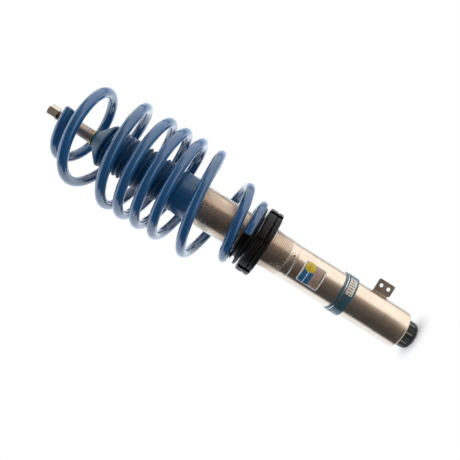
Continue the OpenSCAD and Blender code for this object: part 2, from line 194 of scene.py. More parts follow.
def helix_ridge(root, crest, low, high, pitch, segments):
    """A thread's ridge of rounded section: a closed bar wound up the axis.

    Its ends run out into the core.
    """
    count = int((high - low) / pitch * segments)
    waves = [-0.49, -0.4, -0.3, -0.2, -0.12, -0.04, 0.04, 0.12, 0.2, 0.3, 0.4, 0.49]
    rows = []
    for i in range(count + 1):
        angle = TAU * i / segments
        height = low + pitch * i / segments
        rise = max(min(1, i / segments * 2, (count - i) / segments * 2), 0.02)
        depth = (crest - root - 0.02) * rise
        section = [(root - 0.3, waves[0])]
        section += [(root + 0.02 + depth * (1 + math.cos(TAU * w)) / 2, w) for w in waves]
        section.append((root - 0.3, waves[-1]))
        rows.append([at_radius(r, angle, height + w * pitch) for r, w in section])
    verts = [v for row in rows for v in row]
    n = len(rows[0])
    faces = [(i * n + k, i * n + (k + 1) % n, (i + 1) * n + (k + 1) % n, (i + 1) * n + k)
             for i in range(count) for k in range(n)]
    faces.append(tuple(range(n - 1, -1, -1)))
    faces.append(tuple(count * n + k for k in range(n)))
    return verts, faces


def patch(r, angle_mid, angle_half, low, high, corner, thickness=0.05, across=24):
    """A thin film with rounded corners on a cylinder, as a closed plate.

    Angles are in degrees from -Y towards +X.
    """
    half_w = math.radians(angle_half) * r
    half_h = (high - low) / 2
    mid_h = (high + low) / 2
    outline = []
    for sx, sy, start in ((1, 1, 0), (-1, 1, 90), (-1, -1, 180), (1, -1, 270)):
        for k in range(7):
            a = math.radians(start + 15 * k)
            outline.append((sx * (half_w - corner) + corner * math.cos(a),
                            sy * (half_h - corner) + corner * math.sin(a)))
    return wrapped_plate(outline, r, angle_mid, mid_h, thickness, across)


def wrapped_plate(outline, r, angle_mid, mid_h, thickness, across):
    """Wraps a convex flat outline round the axis as rows of quads, closed with a rim and an underside."""
    rows = []
    levels = sorted({round(y, 4) for _, y in outline})
    count = len(outline)
    for y in levels:
        xs = []
        for i in range(count):
            (x0, y0), (x1, y1) = outline[i], outline[(i + 1) % count]
            if abs(y1 - y0) < 1e-4:
                if abs(y - y0) < 1e-3:
                    xs += [x0, x1]
            elif min(y0, y1) - 1e-3 <= y <= max(y0, y1) + 1e-3:
                xs.append(x0 + (x1 - x0) * (y - y0) / (y1 - y0))
        rows.append((y, min(xs), max(xs)))
    verts, faces = [], []
    for lift in (0, thickness):
        for y, x0, x1 in rows:
            for k in range(across + 1):
                a = math.radians(angle_mid) + (x0 + (x1 - x0) * k / across) / r
                rr = (r + lift) * MM
                verts.append((rr * math.sin(a), -rr * math.cos(a), up(mid_h + y)))
    n, m = across + 1, len(rows)
    layer = n * m
    for base in (0, layer):
        for i in range(m - 1):
            for k in range(across):
                a = base + i * n + k
                faces.append((a, a + 1, a + n + 1, a + n))
    rim = [k for k in range(n)] + [i * n + n - 1 for i in range(1, m)] \
        + [(m - 1) * n + k for k in range(n - 2, -1, -1)] + [i * n for i in range(m - 2, 0, -1)]
    for a, b in zip(rim, rim[1:] + rim[:1]):
        faces.append((a, b, b + layer, a + layer))
    return verts, faces


def disc_outline(r, count=40):
    """Flat outline of a disc, in millimetres."""
    angles = [TAU * (k + 0.5) / count for k in range(count)]
    return [(r * math.cos(a), r * math.sin(a)) for a in angles]


# ---------------------------------------------------------------- materials
def add_node(tree, kind, **fields):
    """A new shader node with its fields set."""
    made = tree.nodes.new(kind)
    for key, value in fields.items():
        setattr(made, key, value)
    return made


def add_ramp(tree, factor, stops):
    """A colour ramp through (position, colour) stops, driven by factor."""
    ramp = add_node(tree, "ShaderNodeValToRGB")
    elements = ramp.color_ramp.elements
    while len(elements) < len(stops):
        elements.new(0.5)
    for element, (position, colour) in zip(elements, stops):
        element.position = position
        element.color = (*colour, 1)
    tree.links.new(factor, ramp.inputs["Fac"])
    return ramp.outputs["Color"]


class Finish:
    """A principled material in object space, with helpers that add its variation and relief."""

    def __init__(self, name, colour, roughness, metallic=0.0, coat=0.0, coat_roughness=0.05, specular=0.5):
        self.material = bpy.data.materials.new(name)
        self.material.use_nodes = True
        self.tree = self.material.node_tree
        self.shader = self.tree.nodes["Principled BSDF"]
        self.colour = colour
        self.roughness = roughness
        self.height = None
        self.set("Base Color", (*colour, 1))
        self.set("Roughness", roughness)
        self.set("Metallic", metallic)
        self.set("Coat Weight", coat)
        self.set("Coat Roughness", coat_roughness)
        self.set("Specular IOR Level", specular)
        self.place = self.node("ShaderNodeTexCoord").outputs["Object"]
        self.material.diffuse_color = (*colour, 1)

    def set(self, socket, value):
        self.shader.inputs[socket].default_value = value

    def node(self, kind):
        return add_node(self.tree, kind)

    def link(self, source, target):
        self.tree.links.new(source, target)

    def noise(self, scale, stretch, detail, rough, seed=0.0):
        """Noise in object space, stretched along the axes."""
        mapping = self.node("ShaderNodeMapping")
        mapping.inputs["Scale"].default_value = stretch
        mapping.inputs["Location"].default_value = (seed, seed * 0.7, seed * 1.3)
        self.link(self.place, mapping.inputs["Vector"])
        noise = self.node("ShaderNodeTexNoise")
        noise.inputs["Scale"].default_value = scale
        noise.inputs["Detail"].default_value = detail
        noise.inputs["Roughness"].default_value = rough
        self.link(mapping.outputs["Vector"], noise.inputs["Vector"])
        return noise.outputs["Fac"]

    def shade(self, factor, amount, tint=(1, 1, 1)):
        """Varies the base colour by amount, darker and tinted where the factor is low."""
        dark = tuple(c * (1 - amount) * t for c, t in zip(self.colour, tint))
        light = tuple(min(1, c * (1 + amount)) for c in self.colour)
        colour = add_ramp(self.tree, factor, [(0.35, dark), (0.65, light)])
        self.link(colour, self.shader.inputs["Base Color"])
        return self

    def roughen(self, factor, amount):
        """Varies the roughness by amount, smoother where the factor is low."""
        smooth = max(0.02, self.roughness - amount)
        rough = min(1, self.roughness + amount)
        spread = add_ramp(self.tree, factor, [(0.3, (smooth,) * 3), (0.7, (rough,) * 3)])
        self.link(spread, self.shader.inputs["Roughness"])
        return self

    def relief(self, factor, depth, strength=1.0):
        """Adds a bump whose height is depth in metres."""
        bump = self.node("ShaderNodeBump")
        bump.inputs["Strength"].default_value = strength
        bump.inputs["Distance"].default_value = depth
        self.link(factor, bump.inputs["Height"])
        if self.height is not None:
            self.link(self.height, bump.inputs["Normal"])
        self.height = bump.outputs["Normal"]
        self.link(self.height, self.shader.inputs["Normal"])
        return self


def turned_metal(name, colour, roughness, mottle=0.06):
    """Metal with fine lines round the axis, as a lathe or grinder leaves."""
    f = Finish(name, colour, roughness, 1.0)
    lines = f.noise(900, (0.02, 0.02, 1), 4, 0.6)
    f.shade(f.noise(60, (1, 1, 0.6), 4, 0.55, 2), mottle)
    f.roughen(lines, 0.3 * roughness)
    return f.relief(lines, 4e-6).material


def cast_finish(name, colour, roughness, metallic=0.0, grain=700, depth=2e-5, coat=0.0, mottle=0.08,
                specular=0.5):
    """Moulded, cast or coated surface with an even fine grain and soft patches."""
    f = Finish(name, colour, roughness, metallic, coat, 0.12, specular)
    f.shade(f.noise(35, (1, 1, 1), 4, 0.6, 5), mottle)
    f.roughen(f.noise(120, (1, 1, 1), 3, 0.5, 9), 0.06)
    return f.relief(f.noise(grain, (1, 1, 1), 2, 0.5, 1), depth).material


def powder_coat():
    """Gloss blue powder coat with its orange-peel surface."""
    f = Finish("spring_powder_coat", (0.002, 0.07, 0.2), 0.35, 0.0, 1.0, 0.06, 0.1)
    f.set("Coat IOR", 1.75)
    f.shade(f.noise(18, (1, 1, 1), 4, 0.6, 3), 0.14)
    f.roughen(f.noise(260, (1, 1, 1), 3, 0.5, 4), 0.07)
    f.relief(f.noise(420, (1, 1, 1), 2, 0.4, 7), 6e-5, 0.55)
    return f.relief(f.noise(1800, (1, 1, 1), 2, 0.5, 8), 1.2e-5, 0.5).material


def plated_body():
    """Satin nickel-coloured plating of the housing."""
    f = Finish("housing_plating", (0.655, 0.57, 0.485), 0.2, 1.0)
    lines = f.noise(700, (0.015, 0.015, 1), 4, 0.62)
    f.shade(f.noise(45, (1, 1, 0.8), 5, 0.6, 2), 0.05, tint=(1, 0.985, 0.96))
    f.roughen(lines, 0.05)
    return f.relief(lines, 3e-6).relief(f.noise(260, (1, 1, 1), 3, 0.5, 6), 3e-6).material


def chrome():
    """Hard chrome, ground round the axis."""
    f = Finish("polished_chrome", (0.72, 0.68, 0.64), 0.09, 1.0)
    lines = f.noise(1200, (0.02, 0.02, 1), 3, 0.5)
    f.roughen(lines, 0.03)
    f.shade(f.noise(50, (1, 1, 1), 3, 0.5, 3), 0.04)
    return f.relief(lines, 1.5e-6).material


def boot_rubber():
    """Dark blue rubber of the boot, with a dusty mottle."""
    f = Finish("boot_rubber", (0.003, 0.045, 0.12), 0.4, 0.0, 0.0, 0.1, 0.4)
    f.shade(f.noise(60, (1, 1, 1), 4, 0.6, 3), 0.22)
    f.roughen(f.noise(90, (1, 1, 1), 3, 0.5, 4), 0.08)
    return f.relief(f.noise(900, (1, 1, 1), 3, 0.55, 6), 2.5e-5, 0.7).material


def printed(name, colour, roughness=0.35, coat=0.5):
    """Ink or film with a faint print grain."""
    f = Finish(name, colour, roughness, 0.0, coat, 0.08)
    f.shade(f.noise(420, (1, 1, 1), 3, 0.6, 2), 0.05)
    f.roughen(f.noise(200, (1, 1, 1), 2, 0.5, 3), 0.05)
    return f.relief(f.noise(1500, (1, 1, 1), 2, 0.5, 4), 4e-6).material


BLUE = powder_coat()
PLATING = plated_body()
CHROME = chrome()
SHANK = turned_metal("shank_steel", (0.36, 0.3, 0.275), 0.42)
RUBBER = cast_finish("black_rubber_seal", (0.02, 0.02, 0.021), 0.55, grain=900, depth=2e-5)
BOOT = boot_rubber()
SLEEVE = cast_finish("sleeve_plastic", (0.003, 0.066, 0.18), 0.3, grain=500, depth=8e-6, coat=0.25)
CAP = cast_finish("cap_plastic", (0.018, 0.08, 0.145), 0.42, grain=600, depth=1.2e-5, specular=0.25)
TEAL = cast_finish("teal_coating", (0.045, 0.105, 0.135), 0.3, 0.35, grain=800, depth=8e-6, coat=0.3)
BLACK = cast_finish("black_anodised", (0.006, 0.0055, 0.005), 0.35, grain=800, depth=8e-6, specular=0.2)
KNOB = cast_finish("knob_plastic", (0.006, 0.008, 0.008), 0.22, grain=900, depth=8e-6, specular=0.4)
STEEL = turned_metal("bright_steel", (0.72, 0.72, 0.74), 0.2)
PLAIN = turned_metal("plain_steel", (0.46, 0.46, 0.48), 0.34)
NUT = cast_finish("nut_plating", (0.78, 0.72, 0.62), 0.3, 1.0, grain=500, depth=1e-5, mottle=0.12)
TAB = cast_finish("tab_plating", (0.3, 0.245, 0.195), 0.38, 0.85, grain=400, depth=1.5e-5, mottle=0.18)
# Circlip at the stud's neck: a yellow passivation tint that also stands in for an orange glint there, so it
# is partly a painted reflection.
CLIP_YELLOW_AND_GLINT = cast_finish("yellow_passivation_and_glint", (0.68, 0.42, 0.12), 0.3, 1.0, grain=500, depth=8e-6, mottle=0.15)
DARK_STUD = turned_metal("stud_thread_steel", (0.16, 0.13, 0.115), 0.36, mottle=0.2)
WASHER = turned_metal("washer_steel", (0.2, 0.21, 0.3), 0.3)
BRONZE = turned_metal("bearing_bronze", (0.62, 0.45, 0.25), 0.35)
ALUMINIUM = turned_metal("machined_aluminium", (0.72, 0.72, 0.73), 0.28)
BRASS = turned_metal("turned_brass", (0.76, 0.58, 0.28), 0.22)
FOAM = cast_finish("bump_stop_foam", (0.62, 0.52, 0.3), 0.75, grain=350, depth=1.5e-4, mottle=0.2)
BAND = cast_finish("piston_band_polymer", (0.22, 0.13, 0.08), 0.5, grain=600, depth=1.5e-5)
FILM = printed("label_film", (0.31, 0.22, 0.175), 0.3)
INK_YELLOW = printed("label_yellow", (0.5, 0.36, 0.01))
INK_BLUE = printed("label_blue", (0.015, 0.11, 0.25))
INK_PALE = printed("label_pale", (0.72, 0.78, 0.84))
INK_DARK = printed("label_dark", (0.09, 0.07, 0.07), 0.5, 0.1)
# Pale ink for the collar's print and the knob's dots. It also paints the pale lines beside the knob's
# grooves, which are painted highlights.
PALE_INK_AND_HIGHLIGHT = printed("pale_print_and_painted_highlight", (0.55, 0.53, 0.48), 0.45, 0.2)


# ---------------------------------------------------------------- camera
FOCAL = 520 / 460          # focal length as a share of the image's width
DISTANCE = 0.702           # from the camera to the strut's axis along the line of sight
AIM_HEIGHT = 265.5         # height on the axis that the middle of the image looks at
AIM_SIDE = -0.0075         # how far the line of sight passes beside the axis
TILT = math.atan(0.010)    # the lower end lies this much farther away
ROLL = math.radians(32.2)  # slope of the axis in the image


def add_camera():
    """Camera level with the strut's middle, rolled so that the strut crosses the image."""
    data = bpy.data.cameras.new("camera")
    data.sensor_width = 36
    data.lens = 36 * FOCAL
    data.clip_end = 20
    cam = bpy.data.objects.new("camera", data)
    bpy.context.scene.collection.objects.link(cam)
    down_axis, side, depth = Vector((0, 0, -1)), Vector((-1, 0, 0)), Vector((0, 1, 0))
    along = math.cos(TILT) * down_axis - math.sin(TILT) * depth
    look = math.sin(TILT) * down_axis + math.cos(TILT) * depth
    right = math.cos(ROLL) * along - math.sin(ROLL) * side
    down = math.sin(ROLL) * along + math.cos(ROLL) * side
    cam.matrix_world = Matrix((
        (right.x, -down.x, -look.x, 0),
        (right.y, -down.y, -look.y, 0),
        (right.z, -down.z, -look.z, 0),
        (0, 0, 0, 1)))
    aim = Vector((0, 0, up(AIM_HEIGHT)))
    cam.location = aim - look * DISTANCE - side * AIM_SIDE
    bpy.context.scene.camera = cam


add_camera()


# ---------------------------------------------------------------- housing
def housing():
    """Tube with its clamp seat, relief groove and thread."""
    high = span("strut_housing")[1]
    r = radius("strut_housing")
    root = r - 1.1
    groove = 171.1
    thread_low = 180.8
    recess, bore, rod_hole, base = 21.5, 24.6, 6.05, 22
    core = [(recess, 0, 0.4), (25.9, 0, 0.5), (CLAMP_SEAT, 1.5, 0.5), (CLAMP_SEAT, 34.5, 2), (TUBE, 37.5, 2),
            (TUBE, groove, 0.15), (TUBE - 0.5, groove + 0.7, 0.1), (TUBE - 0.5, groove + 1.3, 0.1),
            (TUBE, groove + 2, 0.15), (TUBE, thread_low, 0.1), (root, thread_low + 0.3, 0.2),
            (root, high - 0.6, 0.4), (bore, high, 0.3), (bore, base, 0.3), (rod_hole, base, 0.3),
            (rod_hole, 8, 0.3), (recess, 8, 0.3)]
    rows = [ring_row(a, b, 144) for a, b in softened(core)]
    body = loft(rows, True)
    ridge = helix_ridge(root, r, thread_low + 1.2, high - 1.2, 2.5, 96)
    obj = merged("housing_threaded", [body, ridge], "housing", [PLATING])
    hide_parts("strut_housing")


def depth_collar():
    """Collar, narrow ring and snap ring on the plain tube."""
    low, high = span("depth_collar")
    r = radius("depth_collar")
    inner = TUBE + 0.06
    band = turned("depth_collar_band", [(inner, low, 0), (r, low, 1.1), (r, high, 0.5), (inner, high, 0)],
                  "housing", TEAL)
    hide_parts("depth_collar")
    low, high = span("stop_ring")
    r = radius("stop_ring")
    lip = turned("stop_ring_turned", [(inner, low, 0), (r, low, 0.4), (r, high, 0.9), (inner, high, 0)],
                 "housing", TEAL)
    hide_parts("stop_ring")
    low, high = span("collar_snap_ring")
    r = radius("collar_snap_ring")
    snap = turned("snap_ring_turned", [(inner, low, 0), (r, low, 0.35), (r, high, 0.35), (inner, high, 0)],
                  "housing", STEEL)
    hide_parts("collar_snap_ring")


def collar_scale():
    """Generic graduation printed on the collar: plain bars, no lettering."""
    low, high = span("depth_collar")
    r = radius("depth_collar") + 0.03
    panel = patch(r, 32, 27, low + 3.1, high - 0.9, 0.6, 0.06)
    bars = [patch(r + 0.07, 9 + 7.6 * i, 1.3, low + (5.2 if i % 3 else 4.1), high - 1.9, 0.3, 0.05, 4)
            for i in range(7)]
    obj = merged("collar_scale", [panel, *bars], "housing", [PALE_INK_AND_HIGHLIGHT, INK_DARK], [0] + [1] * len(bars))


def locating_tab():
    """Plate with two holes, rounded corners and a weld bead along its foot."""
    low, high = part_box("locating_tab")
    z0, z1 = above_foot(low.z), above_foot(high.z)
    reach = high.x / MM
    half = (high.y - low.y) / 2 / MM
    hole_r, hole_x, gap = 2.75, 38.4, 11
    mid = (z0 + z1) / 2
    outer = softened([(26.9, z0 + 3), (28.1, z0 + 3, 0.8), (31.1, z0, 0.8), (reach, z0, 2.4),
                      (reach, z1, 2.4), (26.9, z1)], True, 6)
    work = bmesh.new()
    rim = [work.verts.new((x * MM, -half * MM, up(z))) for x, z in outer]
    edges = [work.edges.new((rim[i], rim[(i + 1) % len(rim)])) for i in range(len(rim))]
    for side in (-1, 1):
        centre = mid + side * gap / 2
        ring = [work.verts.new(((hole_x + hole_r * math.cos(TAU * k / 32)) * MM, -half * MM,
                                up(centre + hole_r * math.sin(TAU * k / 32))))
                for k in range(32)]
        edges += [work.edges.new((ring[i], ring[(i + 1) % 32])) for i in range(32)]
    made = bmesh.ops.triangle_fill(work, use_beauty=True, use_dissolve=True, edges=edges)
    faces = [g for g in made["geom"] if isinstance(g, bmesh.types.BMFace)]
    pulled = bmesh.ops.extrude_face_region(work, geom=faces)
    moved = [g for g in pulled["geom"] if isinstance(g, bmesh.types.BMVert)]
    bmesh.ops.translate(work, verts=moved, vec=(0, 2 * half * MM, 0))
    bmesh.ops.recalc_face_normals(work, faces=work.faces)
    mesh = bpy.data.meshes.new("tab_plate")
    work.to_mesh(mesh)
    work.free()
    mesh.materials.append(TAB)
    obj = bpy.data.objects.new("tab_plate", mesh)
    bpy.context.scene.collection.objects.link(obj)
    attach(obj, "housing")
    bevel = obj.modifiers.new("edges", "BEVEL")
    bevel.width = 0.45 * MM
    bevel.segments = 3
    bevel.limit_method = "ANGLE"
    bevel.harden_normals = True
    mesh.polygons.foreach_set("use_smooth", [True] * len(mesh.polygons))
    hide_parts("locating_tab")
    for side in (-1, 1):
        weld_bead(side, half, z0 + 3.4, z1 - 0.6)


def weld_bead(side, half, low, high):
    """A weld's scalloped bead along the tab's foot on one side."""
    rows = []
    count = 60
    for i in range(count + 1):
        t = i / count
        height = low + (high - low) * t
        scallop = 0.16 * abs(math.sin(t * math.pi * 9))
        size = (1.25 + scallop) * min(1, 0.35 + 6 * t, 0.35 + 6 * (1 - t))
        row = []
        for k in range(10):
            a = TAU * k / 10
            row.append(((27.2 + size * math.cos(a)) * MM, side * (half + 0.1 + size * math.sin(a)) * MM,
                        up(height + 0.25 * math.cos(a))))
        rows.append(row)
    verts, faces = loft(rows, False)
    faces.append(tuple(range(9, -1, -1)))
    faces.append(tuple(count * 10 + k for k in range(10)))
    name = "tab_weld_" + ("back" if side > 0 else "front")
    obj = make_object(name, verts, faces, "housing", [TAB], crease=60)


def rating_label():
    """A film with a plain disc and block, no lettering."""
    low, high = span("rating_label")
    turn, half = -1.5, 34
    border = 1.6
    film = patch(TUBE + 0.02, turn, half, low + 0.3, high - 0.3, 2.2, 0.08)
    inner_half = half - math.degrees(border / TUBE)
    inner = patch(TUBE + 0.06, turn, inner_half, low + border, high - border, 1.4, 0.06)
    lift = TUBE + 0.11
    disc = wrapped_plate(disc_outline(7.2), lift + 0.05, 16, high - 9.4, 0.05, 24)
    block_low, block_high = high - 16.8, high - 2.9
    block_mid = (block_low + block_high) / 2
    block = patch(lift, -14.5, 18.5, block_low, block_high, 0.5, 0.04)
    stripe = patch(lift + 0.03, -14.5, 18.5, block_mid - 0.45, block_mid + 0.45, 0.2, 0.04)
    line = patch(lift, -2, 20, low + 2.8, low + 3.8, 0.2, 0.04)
    dashes, rules = [], []
    for i in range(4):
        dash = high - 10.4 + 1.1 * (i % 2)
        dashes.append(patch(lift + 0.08, 8.5 + 5.2 * i, 1.6, dash, dash + 1.2, 0.25, 0.04, 6))
        rule = low + 6.3 + 1.7 * i
        rules.append(patch(lift, -14 + 0.6 * i, 13 - 1.5 * (i % 3), rule, rule + 0.4, 0.1, 0.03))
    parts = [film, inner, disc, block, stripe, line, *dashes, *rules]
    slots = [1, 0, 2, 3, 1, 4] + [4] * len(dashes) + [5] * len(rules)
    inks = [FILM, INK_PALE, INK_YELLOW, INK_BLUE, INK_DARK, PLAIN]
    obj = merged("label_printed", parts, "housing", inks, slots)
    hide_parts("rating_label")


def tube_marks():
    """Plain batch marks on the tube: rows of dots beside the label and a small outlined square."""
    r = TUBE + 0.02
    marks = []
    for row, height in enumerate((153, 148.5, 142, 138)):
        for k in range(3):
            step = 0.9 * ((k + row) % 2)
            marks.append(wrapped_plate(disc_outline(0.62, 16), r, 52 + 6 * k, height + step, 0.03, 4))
    centre, mid, half = 19, 176.5, 3.5
    half_turn = math.degrees(half / r)
    for side in (-1, 1):
        edge = mid + side * half
        marks.append(patch(r, centre, half_turn, edge - 0.22, edge + 0.22, 0.15, 0.03, 10))
        marks.append(patch(r, centre + side * half_turn, 0.5, mid - half, mid + half, 0.15, 0.03, 3))
    marks.append(wrapped_plate(disc_outline(1.7, 24), r, centre, mid, 0.03, 8))
    obj = merged("batch_marks", marks, "housing", [INK_DARK])


housing()
depth_collar()
collar_scale()
locating_tab()
rating_label()
tube_marks()


# ---------------------------------------------------------------- knob
def damping_knob():
    """Knob with grip grooves, pale lines beside them that are painted highlights of the groove edges, and
    printed dots on its lower face.
    """
    low, high = span("adjuster_knob")
    r = radius("adjuster_knob")
    grooves, per_groove = 9, 20
    segments = grooves * per_groove
    profile = softened([(0, low + 1.6), (9, low + 1.6, 0.4), (9.8, low + 0.5, 0.4), (11.6, low, 0.8),
                        (r, low, 6.8), (r, high - 1, 0.6), (r - 1, high, 0.5), (13.5, high, 0.4),
                        (13.5, high - 8, 0.4), (0, high - 8)], False, 8)
    rows = []
    for pr, ph in profile:
        if pr < 1e-6:
            rows.append(ring_row(0, ph, segments))
            continue
        row = []
        for k in range(segments):
            a = TAU * k / segments
            phase = (k % per_groove) / per_groove - 0.5
            groove = math.exp(-(phase / 0.1) ** 4)
            depth = 1.9 * groove * min(1, max(0, (pr - 12) / 4))
            turn = a + math.radians(-94 + 360 / grooves / 2)
            row.append(at_radius(pr - depth, turn, ph))
        rows.append(row)
    verts, faces = loft(rows, False)
    obj = make_object("knob_ribbed", verts, faces, "damping_adjuster", [KNOB], crease=50)
    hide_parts("adjuster_knob")
    marks = []
    # Pale lines beside each groove: painted highlights of the groove edges. The dots below are print.
    for k in range(grooves):
        marks.append(patch(r + 0.02, 360 / grooves * k + 7.2, 0.8, low + 6.2, high - 3.8, 0.2, 0.05, 3))
    for k in range(8):
        size = 0.5 + 0.12 * k
        a = math.radians(200 - 20 * k)
        marks.append(dot(5.6 * math.cos(a), 5.6 * math.sin(a), low + 1.56, size))
    dots_and_highlight_lines = merged("knob_dots_and_highlight_lines", marks, "damping_adjuster", [PALE_INK_AND_HIGHLIGHT])


def dot(x, y, height, size):
    """A printed dot on a face that looks down."""
    angles = [TAU * k / 20 for k in range(20)]
    rim = [((x + size * math.cos(a)) * MM, (y + size * math.sin(a)) * MM) for a in angles]
    verts = [(px, py, up(height)) for px, py in rim] + [(px, py, up(height + 0.08)) for px, py in rim]
    faces = [tuple(range(19, -1, -1)), tuple(range(20, 40))]
    faces += [(k, (k + 1) % 20, 20 + (k + 1) % 20, 20 + k) for k in range(20)]
    return verts, faces


damping_knob()


# ---------------------------------------------------------------- seat and rings
def slotted_ring(name, node, body):
    """Ring nut with chamfered edges and spanner slots, set at the CAD node's slots."""
    low, high = span(node)
    r = 47.8
    slots, half_slot, depth, first = 6, 3.5, 4, -28
    per_arc = 22
    bevel = 0.6

    def outline(shrink, height):
        row = []
        outer = r - shrink
        bottom = r - depth - shrink * 0.4
        half = half_slot + shrink * 0.35
        edge = math.asin(half / outer)
        foot = math.asin(half / bottom)
        for i in range(slots):
            a0 = math.radians(first + 360 / slots * i)
            a1 = a0 + TAU / slots
            row += [(bottom, a0 - foot), (bottom, a0), (bottom, a0 + foot)]
            row += [(outer, a0 + edge + (a1 - a0 - 2 * edge) * k / per_arc) for k in range(per_arc + 1)]
        return [at_radius(q, a, height) for q, a in row]

    def inner(q, height):
        return [at_radius(q, math.atan2(y, x), height) for x, y, _ in outline(0, height)]

    steps = [(1.9, 0), (1.35, 0.12), (0.25, 1.2), (0, 1.75)]
    rows = [inner(RING_BORE + bevel, low), *[outline(s, low + d) for s, d in steps],
            *[outline(s, high - d) for s, d in reversed(steps)], inner(RING_BORE + bevel, high),
            inner(RING_BORE, high - bevel), inner(RING_BORE, low + bevel)]
    verts, faces = loft(rows, True)
    obj = make_object(name, verts, faces, body, [BLACK], crease=38)
    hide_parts(node)


def spring_seat():
    """Flanged seat under the spring, and the washer that it turns on."""
    low, high = span("spring_seat")
    bore, neck, flange, hub, face = RING_BORE, 31, 44, 35, SEAT_FACE
    obj = turned("spring_seat_turned", [
        (bore, low, 0.3), (neck, low, 0.3), (neck + 0.3, low + 1.2, 0.8), (flange - 1, face - 3.6, 1.0),
        (flange, face - 2.6, 0.6), (flange, face, 0.7), (hub + 1.5, face, 1.2), (hub, face + 2, 1.2),
        (hub, high - 3, 1.6), (hub - 2.2, high, 0.9), (bore + 0.6, high, 0.4), (bore, high - 1, 0.4)],
        "seat", BLACK)
    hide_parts("spring_seat")
    low, high = span("thrust_washer")
    r = radius("thrust_washer")
    washer = turned("thrust_washer_turned", [
        (RING_BORE, low, 0), (r, low, 0.35), (r, high, 0.35), (RING_BORE, high, 0)], "seat", WASHER)
    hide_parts("thrust_washer")


spring_seat()
slotted_ring("adjuster_ring_slotted", "adjuster_ring", "adjuster")
slotted_ring("lock_ring_slotted", "lock_ring", "locker")


# ---------------------------------------------------------------- coil spring
# Height above the foot, and share of the full radius, at every half turn from the top end down
COIL_HEIGHTS = (517.3, 498.4, 494.8, 464.5, 432.8, 415.9, 403.7, 391.3, 378.8, 366.5, 352.7, 338.3, 318.6,
                285.7, 262.6, 246.4, 244.4)
COIL_WIDTHS = (0.617, 0.75, 0.932, 0.988, 1, 1, 1, 1, 1, 1, 1, 1, 1, 0.933, 0.654, 0.64, 0.625)
COIL_RADIUS = 69.6         # full radius of the wire's centre line
COIL_OVER = 0.09           # half turns that the wire runs on before the first height
END_LIFT = 5               # rise of the centre line in the middle of the first half turn
COIL_BOW = 2.2             # how far the turns stand off towards +X
COIL_LEAN = 2.2            # drop of the turns on the +X side
COIL_FRONT_LEAN = 4.9      # drop of the turns on the +Y side
WIRE_RADIUS = 7


def curve_at(values, t):
    """Smooth curve through the half-turn values."""
    i = max(0, min(math.floor(t), len(values) - 2))
    u = t - i
    a, b, c, d = (values[max(0, min(len(values) - 1, k))] for k in (i - 1, i, i + 1, i + 2))
    return b + u * (c - a) / 2 + u * u * (a - 2.5 * b + 2 * c - d / 2) + u ** 3 * (3 * (b - c) + d - a) / 2


def fade(u):
    """Smooth step from 0 at u = 0 to 1 at u = 1."""
    v = max(0, min(1, u))
    return v * v * (3 - 2 * v)


def wire_centre(t):
    """Point on the wire's centre line in millimetres, t half turns below its top end."""
    angle = -math.pi / 2 - math.pi * t
    r = COIL_RADIUS * curve_at(COIL_WIDTHS, t)
    bow = COIL_BOW * fade((14 - t) / 3)
    slope = COIL_LEAN * math.cos(angle) + COIL_FRONT_LEAN * math.sin(angle)
    lean = fade((t - 1) / 3) * fade((13 - t) / 3) * slope
    lift = END_LIFT * math.sin(math.pi * t) ** 2 if 0 < t < 1 else 0
    return Vector((r * math.cos(angle) + bow, r * math.sin(angle), curve_at(COIL_HEIGHTS, t) + lift - lean))


def coil_spring():
    """Wire wound along its centre line, ground flat where it rests on the seat."""
    half_turns = len(COIL_HEIGHTS) - 1
    per_half, sides = 44, 28
    rounding = [(0.0, 0.86), (0.10, 0.955), (0.25, 1.0)]
    rounding_step = 3 / (math.pi * COIL_RADIUS * 0.6)
    ground_gap = 0.06

    def section(t, scale):
        angle = -math.pi / 2 - math.pi * t
        centre = wire_centre(t)
        ahead = wire_centre(min(t + 0.01, half_turns))
        behind = wire_centre(max(t - 0.01, -COIL_OVER))
        along = (ahead - behind).normalized()
        out = Vector((math.cos(angle), math.sin(angle), 0))
        out = (out - along * out.dot(along)).normalized()
        side = along.cross(out)
        points = []
        for k in range(sides):
            b = TAU * k / sides
            p = centre + (out * math.cos(b) + side * math.sin(b)) * WIRE_RADIUS * scale
            points.append((p.x * MM, p.y * MM, up(max(p.z, SEAT_FACE + ground_gap))))
        return points

    def tip(t):
        centre = wire_centre(t)
        return [(centre.x * MM, centre.y * MM, up(centre.z))]

    rows = [tip(-COIL_OVER)]
    rows += [section(back * rounding_step - COIL_OVER, scale) for back, scale in rounding]
    rows += [section(i / per_half, 1) for i in range(-int(COIL_OVER * per_half), half_turns * per_half)]
    rows += [section(half_turns - back * rounding_step, scale) for back, scale in reversed(rounding)]
    rows.append(tip(half_turns))
    verts, faces = loft(rows, False)
    obj = make_object("coil_spring_wound", verts, faces, "seat", [BLUE], crease=40)
    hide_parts("coil_spring")
    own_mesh(obj)


coil_spring()


# ---------------------------------------------------------------- dust boot
def bellows():
    """Folded part of the boot. Its cuff keeps clear of the thread when the folds close."""
    low, high = span("dust_bellows")
    low, high = low - 0.25, high + 0.1
    crest, valley, wall, folds = 30, 26.6, 0.9, 16
    step = (high - low) / folds
    outer, inner = [], []
    per_fold = 14
    for i in range(folds * per_fold + 1):
        phase = TAU * i / per_fold
        wave = ((1 - math.cos(phase)) / 2) ** 1.35
        h = low + step * i / per_fold
        r = valley + (crest - valley) * wave
        cuff = 1 - fade((h - low - 3) / 2.5)
        r += (crest - 0.1 - r) * cuff
        outer.append((r, h))
        inner.append((r - wall, h))
    rows = [ring_row(r, h, 128) for r, h in outer + inner[::-1]]
    verts, faces = loft(rows, True)
    obj = make_object("bellows_folded", verts, faces, "boot_carrier", [BOOT], crease=60)
    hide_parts("dust_bellows")
    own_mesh(obj)


